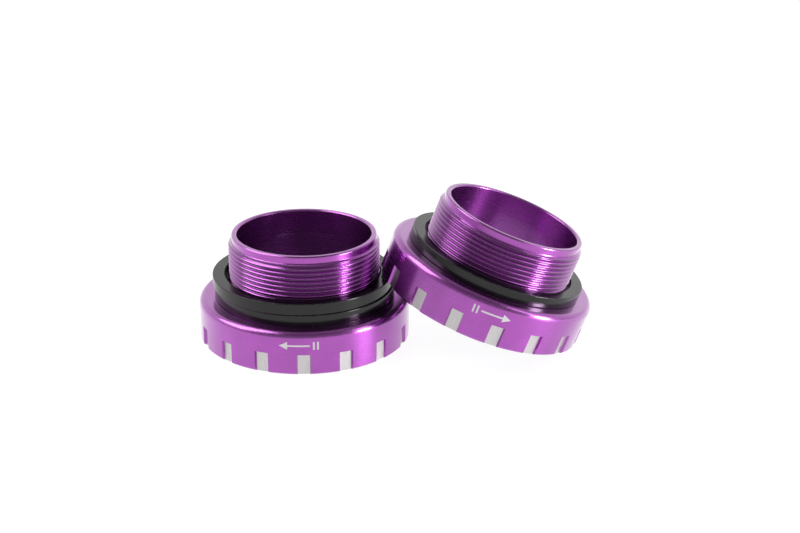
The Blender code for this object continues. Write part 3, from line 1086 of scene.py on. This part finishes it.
@dataclass(frozen=True)
class Bearing:
    """The sealed ball bearing of a cup with its dust cover, in millimetres."""

    side: Side
    bore: float = 15.0
    outside: float = 21.0
    low: float = 1.35
    high: float = 8.35
    middle: float = 4.85
    pitch: float = 18.0
    groove: float = 2.05
    inner_land: float = 16.6
    outer_land: float = 19.4
    ball: float = 1.75
    balls: int = 18
    columns: int = 192

    def stand(self, kind: str, middle: float) -> AxisFrame:
        """Gives the axis of one of the bearing's solids."""
        return AxisFrame.of_node(f"{self.side.value}_{kind}", self.side, middle * MM)

    def add(
        self,
        surface: Surface,
        kind: str,
        look: str,
        body: str,
        finish: Material,
        slot: str,
        race: str = "outer_race",
    ) -> None:
        """Makes one piece of the bearing and dresses it.

        Args:
            surface: The piece's skin.
            kind: What the piece is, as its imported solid's name says after the side.
            look: What its finish is, for the piece's name.
            body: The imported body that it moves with, without the side.
            finish: The finish.
            slot: The record's material slot.
            race: The race whose axis the piece is turned about.
        """
        node = f"{self.side.value}_{kind}"
        piece = surface.into_piece(f"{node}_{look}", self.stand(race, self.middle), [finish])
        show(piece, f"{self.side.value}_{body}", slot, node)

    def race(self, land: float, back: float, outwards: int) -> tuple[np.ndarray, np.ndarray]:
        """Works out a race's section: a rounded box with the balls' groove, an arc about the pitch circle.

        Args:
            land: Radius of the lands beside the groove.
            back: Radius of the race's plain side.
            outwards: 1 for the outer race and -1 for the inner one.

        Returns:
            The section in metres, and how much each point is an edge.
        """
        back_softness, land_softness = 0.3, 0.12
        corners = [
            (back, self.high, back_softness),
            (back, self.low, back_softness),
            (land, self.low, land_softness),
            (land, self.high, land_softness),
        ]
        points, wear_and_shade = soft_section(corners)
        reach = math.acos(abs(self.pitch - land) / self.groove)
        bend = np.linspace(-reach, reach, 17)
        across = self.pitch + outwards * self.groove * np.cos(bend)
        arc = np.column_stack([across, self.middle + self.groove * np.sin(bend)])
        split = 3 * len(points) // 4
        section = np.concatenate([points[:split], arc * MM, points[split:]])
        return section, np.concatenate([wear_and_shade[:split], np.zeros(len(arc)), wear_and_shade[split:]])

    def build_races(self, finishes: Finishes) -> None:
        """Makes the two races.

        Args:
            finishes: The shared finishes.
        """
        races = (
            ("outer_race", self.outer_land, self.outside, 1, "cup"),
            ("inner_race", self.inner_land, self.bore, -1, "inner_race"),
        )
        for kind, land, back, outwards, body in races:
            section, wear_and_shade = self.race(land, back, outwards)
            ring = turn(section, wear_and_shade, self.columns)
            self.add(ring, kind, "ground", body, finishes.steel, "bearing_steel", race=kind)

    def build_seals(self, finishes: Finishes) -> None:
        """Makes the two seals: flat rings with a raised rib round the middle of the outer face.

        Args:
            finishes: The shared finishes.
        """
        inner, outer, flat, rib, softness = 16.9, 19.1, 0.42, 0.6, 0.06
        face = [
            (inner, 0.0),
            (inner, flat),
            (17.5, flat),
            (17.7, rib),
            (18.3, rib),
            (18.5, flat),
            (outer, flat),
            (outer, 0.0),
        ]
        outboard = [(radius, 1.5 + rib - height, softness) for radius, height in face]
        inboard = [(radius, 7.6 + height, softness) for radius, height in face]
        for kind, corners in (("seal_outboard", outboard), ("seal_inboard", inboard)):
            section, wear_and_shade = soft_section(corners, 3)
            ring = turn(section, wear_and_shade, self.columns)
            self.add(ring, kind, "moulded", "cup", finishes.rubber, "seal_rubber")

    def build_cage(self, finishes: Finishes) -> None:
        """Makes the crown cage, whose top follows a round pocket under each ball and a finger between two.

        At a distance x along the pitch circle from the nearest ball's middle, the top edge is at
        middle - sqrt(groove^2 - x^2) inside the pocket, and at the finger's height outside it.

        Args:
            finishes: The shared finishes.
        """
        inner, outer, base, floor, tip, bevel = 17.25, 18.75, 2.4, 2.8, 5.5, 0.12
        step = math.tau / self.balls
        edge = math.asin(self.groove / self.pitch)
        finger = [edge + 0.004, (edge + step / 2) / 2, step / 2]
        half = np.concatenate([np.linspace(0.0, edge, 9), finger])
        sector = np.concatenate([half, step - half[-2:0:-1]])
        angles = np.append((np.arange(self.balls)[:, None] * step + sector).ravel(), math.tau)
        off = np.abs((angles + step / 2) % step - step / 2) * self.pitch
        pocket = self.middle - np.sqrt(np.maximum(self.groove**2 - off**2, 0.0))
        crown = np.where(off <= edge * self.pitch + HAIR, np.maximum(pocket, floor), tip)
        under = np.array([inner, inner + bevel, outer - bevel, outer])
        radius = np.concatenate([under, under[::-1]])[:, None]
        foot = np.array([base + bevel, base, base, base + bevel])[:, None] + 0 * crown
        head = np.array([-bevel, 0.0, 0.0, -bevel])[:, None] + crown
        height = np.concatenate([foot, head])
        bare = np.zeros((len(height), len(angles) - 1), bool)
        points = round_axis(radius, angles, height) * MM
        surface = Surface(points, unroll(angles / math.tau, height * MM), 0 * height, bare)
        self.add(surface, "ball_cage", "moulded", "ball_set", finishes.nylon, "cage_nylon")

    def build_balls(self, finishes: Finishes) -> None:
        """Makes the balls: x = r cos p cos a, y = r cos p sin a, z = r sin p about their own centres.

        Args:
            finishes: The shared finishes.
        """
        turns = np.linspace(0.0, 1.0, 33)
        lift = np.linspace(-math.pi / 2, math.pi / 2, 17)[:, None]
        radius = self.ball * MM * np.cos(lift)
        radius[[0, -1]] = 0.0
        points = round_axis(radius, math.tau * turns, self.ball * MM * np.sin(lift))
        bare = np.zeros((len(lift), len(turns) - 1), bool)
        ball = Surface(points, unroll(turns, lift), np.zeros(points.shape[:2]), bare, closed_section=False)
        for number in range(1, self.balls + 1):
            node = f"{self.side.value}_ball_{number:02d}"
            stand = AxisFrame.of_node(node, self.side, 0.0)
            piece = ball.into_piece(f"{node}_polished", stand, [finishes.steel])
            show(piece, f"{self.side.value}_ball_set", "bearing_steel", node)

    def build_cover(self, finishes: Finishes) -> None:
        """Makes the dust cover: a thick outer ring, a thin web with two ribs, and a bead round the spindle.

        Args:
            finishes: The shared finishes.
        """
        inner, outer, low, high, web, rib, bevel = 15.3, 21.0, 0.15, 1.05, 0.5, 0.38, 0.12
        ribs = [
            (radius, height, 0.05)
            for start in (17.0, 18.2)
            for radius, height in (
                (start, web),
                (start + bevel, rib),
                (start + bevel + 0.18, rib),
                (start + 2 * bevel + 0.18, web),
            )
        ]
        corners = [
            (inner, high, 0.05),
            (inner, 0.3, 0.1),
            (inner + 0.7, 0.3, 0.12),
            (inner + 0.9, web, 0.08),
            *ribs,
            (19.3, web, 0.08),
            (19.45, low, 0.1),
            (outer, low, 0.15),
            (outer, high, 0.1),
        ]
        section, wear_and_shade = soft_section(corners, 3)
        ring = turn(section, wear_and_shade, self.columns)
        self.add(ring, "dust_cover", "moulded", "cup", finishes.rubber, "seal_rubber")

    def build(self, finishes: Finishes) -> None:
        """Makes every part of the bearing.

        Args:
            finishes: The shared finishes.
        """
        self.build_races(finishes)
        self.build_seals(finishes)
        self.build_cage(finishes)
        self.build_balls(finishes)
        self.build_cover(finishes)


@dataclass(frozen=True)
class Softbox:
    """An oblong area light that faces the middle of the pair."""

    name: str
    place: tuple[float, float, float]
    width: float
    height: float
    power: float
    aim: tuple[float, float, float] = (0.0, 0.0, 0.012)

    def build(self) -> None:
        """Makes the light."""
        data = bpy.data.lights.new(self.name, "AREA")
        data.shape = "RECTANGLE"
        data.size = self.width
        data.size_y = self.height
        data.energy = self.power
        light = bpy.data.objects.new(self.name, data)
        light.location = self.place
        way = Vector(self.aim) - Vector(self.place)
        light.rotation_euler = way.to_track_quat("-Z", "Y").to_euler()
        bpy.context.scene.collection.objects.link(light)


@dataclass(frozen=True)
class Studio:
    """A plain white light table, a pale surround, three softboxes and the camera, in metres.

    The table glows, except under the upright cup's bore, which it would light from below: the glow is 0
    within dark_radius of the point that the cup covers, and full beyond lit_radius.
    """

    covered: tuple[float, float, float]
    floor_size: float = 2.4
    floor_drop: float = 0.05 * MM
    floor_grey: Colour = (0.18, 0.18, 0.181)
    floor_light: Colour = (0.2, 0.2, 0.201)
    floor_roughness: float = 0.6
    glow: float = 0.9
    dark_radius: float = 14.0 * MM
    lit_radius: float = 18.0 * MM
    surround: float = 0.95
    lens: float = 58.15
    sensor: float = 36.0
    place: tuple[float, float, float] = (0.0010485, -0.279, 0.1248946)
    pitch: float = 0.3712
    roll: float = 0.0142
    softboxes: tuple[Softbox, ...] = (
        Softbox("left_softbox", (-0.42, 0.0, 0.5), 0.42, 0.5, 2.3),
        Softbox("right_softbox", (0.5, -0.14, 0.3), 0.16, 0.5, 0.5),
        Softbox("low_right_softbox", (0.40, -0.18, 0.06), 0.10, 0.11, 1.7),
    )

    def floor_material(self) -> Material:
        """Builds the table's finish: faintly cloudy grey that glows white.

        Returns:
            The material.
        """
        material, nodes = new_material("studio_floor")
        spot = nodes.add("ShaderNodeTexCoord").outputs["Object"]
        cloud = nodes.noise(spot, 3.0)
        away = nodes.add("ShaderNodeVectorMath", {"operation": "DISTANCE"}, {0: spot, 1: self.covered})
        glow = nodes.remap(away.outputs["Value"], self.dark_radius, self.lit_radius, 0.0, self.glow)
        nodes.finish(
            {
                "Base Color": nodes.mix(cloud, (*self.floor_grey, 1.0), (*self.floor_light, 1.0)),
                "Roughness": self.floor_roughness,
                "Emission Color": (1.0, 1.0, 1.0, 1.0),
                "Emission Strength": glow,
            }
        )
        return material

    def build_floor(self) -> None:
        """Makes the floor: a wide square, a hair below the part."""
        half = self.floor_size / 2
        corners = np.array([(-half, -half), (half, -half), (half, half), (-half, half)])
        points = np.column_stack([corners, np.full(4, -self.floor_drop)])
        mesh = bpy.data.meshes.new("studio_floor")
        mesh.from_pydata(points.tolist(), [], [(0, 1, 2, 3)])
        mesh.materials.append(self.floor_material())
        floor = bpy.data.objects.new("studio_floor", mesh)
        bpy.context.scene.collection.objects.link(floor)

    def build_surround(self) -> None:
        """Makes the surround: white low down and behind, dimmer overhead and in front.

        The backdrop itself shows plain white.
        """
        world = bpy.data.worlds.new("studio_surround")
        world.use_nodes = True
        nodes = Nodes(world.node_tree)
        way = nodes.add("ShaderNodeTexCoord").outputs["Generated"]
        split = nodes.add("ShaderNodeSeparateXYZ", {}, {0: way})
        behind = nodes.remap(split.outputs[1], -0.6, 0.5, 0.35, 1.0)
        low = nodes.remap(split.outputs[2], 0.45, 0.85, 1.0, 0.4)
        level = nodes.math("MULTIPLY", nodes.math("MULTIPLY", behind, low), self.surround)
        seen = nodes.add("ShaderNodeLightPath").outputs["Is Camera Ray"]
        level = nodes.math("MAXIMUM", level, seen)
        backdrop = nodes.add("ShaderNodeBackground", {}, {0: (1.0, 1.0, 1.0, 1.0), 1: level})
        nodes.add("ShaderNodeOutputWorld", {}, {0: backdrop.outputs[0]})
        bpy.context.scene.world = world

    def build_camera(self) -> None:
        """Makes the camera, which looks along +Y and down, with a slight roll."""
        data = bpy.data.cameras.new("studio_camera")
        data.lens = self.lens
        data.sensor_width = self.sensor
        data.clip_start = 0.01
        data.clip_end = 20.0
        camera = bpy.data.objects.new("studio_camera", data)
        turned = Matrix.Rotation(math.pi / 2 - self.pitch, 4, "X") @ Matrix.Rotation(self.roll, 4, "Z")
        camera.matrix_world = Matrix.Translation(self.place) @ turned
        bpy.context.scene.collection.objects.link(camera)
        bpy.context.scene.camera = camera

    def build(self) -> None:
        """Sets up the studio."""
        self.build_floor()
        self.build_surround()
        for softbox in self.softboxes:
            softbox.build()
        self.build_camera()
        bpy.context.scene.view_settings.view_transform = "Standard"


def main() -> None:
    """Builds both cups with their spacers and bearings, and the studio round them."""
    logging.basicConfig(level=logging.INFO, format="%(message)s")
    finishes = Finishes.mixed()
    front = -math.pi / 2
    mark_height, flange = 6.9 * MM, Cup.flange_radius * MM
    cups = [
        Cup(
            side=Side.DRIVE,
            top=24.6,
            hand=ThreadHand.LEFT,
            notches=Notches(math.radians(3.4)),
            mark=DirectionMark(front - math.radians(1.5), mark_height, flange, -1),
        ),
        Cup(
            side=Side.NONDRIVE,
            top=22.35,
            hand=ThreadHand.RIGHT,
            notches=Notches(math.radians(3.3)),
            mark=DirectionMark(front, mark_height, flange, 1),
        ),
    ]
    for cup in cups:
        cup.build(finishes)
        Bearing(cup.side).build(finishes)
    for side, node in (
        (Side.DRIVE, "drive_spacer_lower"),
        (Side.DRIVE, "drive_spacer_upper"),
        (Side.NONDRIVE, "nondrive_spacer"),
    ):
        Spacer(side, node).build(finishes)
    drive_foot = Bearing(Side.DRIVE).stand("outer_race", Bearing.middle).foot
    Studio(tuple(float(part) for part in drive_foot)).build()


if __name__ == "__main__":
    main()
